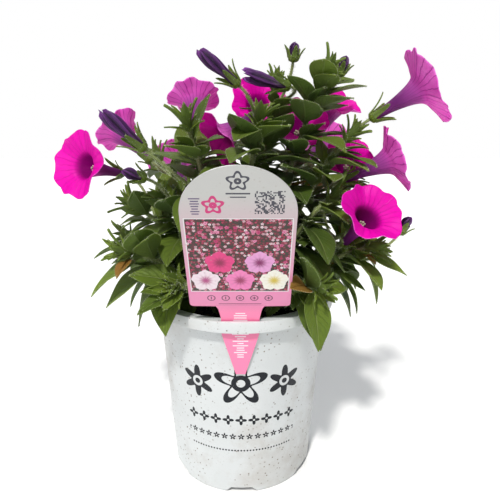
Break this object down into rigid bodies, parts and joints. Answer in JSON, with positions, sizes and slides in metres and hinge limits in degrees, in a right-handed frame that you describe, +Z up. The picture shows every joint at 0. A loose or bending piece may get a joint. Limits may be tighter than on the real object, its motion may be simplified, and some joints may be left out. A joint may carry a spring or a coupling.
{
  "type": "potted petunia",
  "caption": "Trailing petunia in bloom in a white plastic nursery pot, with leafy upright shoots, funnel shaped flowers, furled buds and an arched plant tag leaning forward.",
  "frame": {"origin": "centre of the pot's foot, on the surface it stands on", "axes": "+Z up along the pot's axis, -Y towards the side that the plant tag leans to, +X to the right as seen from that side"},
  "size_m": [0.2714, 0.2371, 0.3221],
  "materials": {
    "pot_plastic": "white moulded plastic with a slight sheen, light scuffs and dark printed ornament",
    "tag_plastic": "thin smooth plastic, printed from pale grey above to pink below",
    "potting_mix": "moist crumbly potting mix",
    "green": "softly hairy green leaves and stems",
    "petal": "soft matt magenta petals with purple veins",
    "bud": "furled dark purple petals",
    "anther": "pale pollen on greenish stalks"
  },
  "bodies": {
    "root": {"bud_01": "bud", "bud_02": "bud", "bud_03": "bud", "bud_04": "bud", "bud_05": "bud", "bud_06": "bud", "bud_07": "bud", "bud_08": "bud", "corolla_01": "petal", "corolla_02": "petal", "corolla_03": "petal", "corolla_04": "petal", "corolla_05": "petal", "corolla_06": "petal", "corolla_07": "petal", "corolla_08": "petal", "corolla_09": "petal", "corolla_10": "petal", "corolla_11": "petal", "corolla_12": "petal", "corolla_13": "petal", "plant_tag": "tag_plastic", "pot": "pot_plastic", "potting_mix": "potting_mix", "shoot_01": "green", "shoot_02": "green", "shoot_03": "green", "shoot_04": "green", "shoot_05": "green", "shoot_06": "green", "shoot_07": "green", "shoot_08": "green", "shoot_09": "green", "shoot_10": "green", "shoot_11": "green", "shoot_12": "green", "shoot_13": "green", "shoot_14": "green", "shoot_15": "green", "shoot_16": "green", "shoot_17": "green", "shoot_18": "green", "shoot_19": "green", "shoot_20": "green", "shoot_21": "green", "shoot_22": "green", "stamens_01": "anther", "stamens_02": "anther", "stamens_03": "anther", "stamens_04": "anther", "stamens_05": "anther", "stamens_06": "anther", "stamens_07": "anther", "stamens_08": "anther", "stamens_09": "anther", "stamens_10": "anther", "stamens_11": "anther", "stamens_12": "anther", "stamens_13": "anther"}
  },
  "joints": []
}
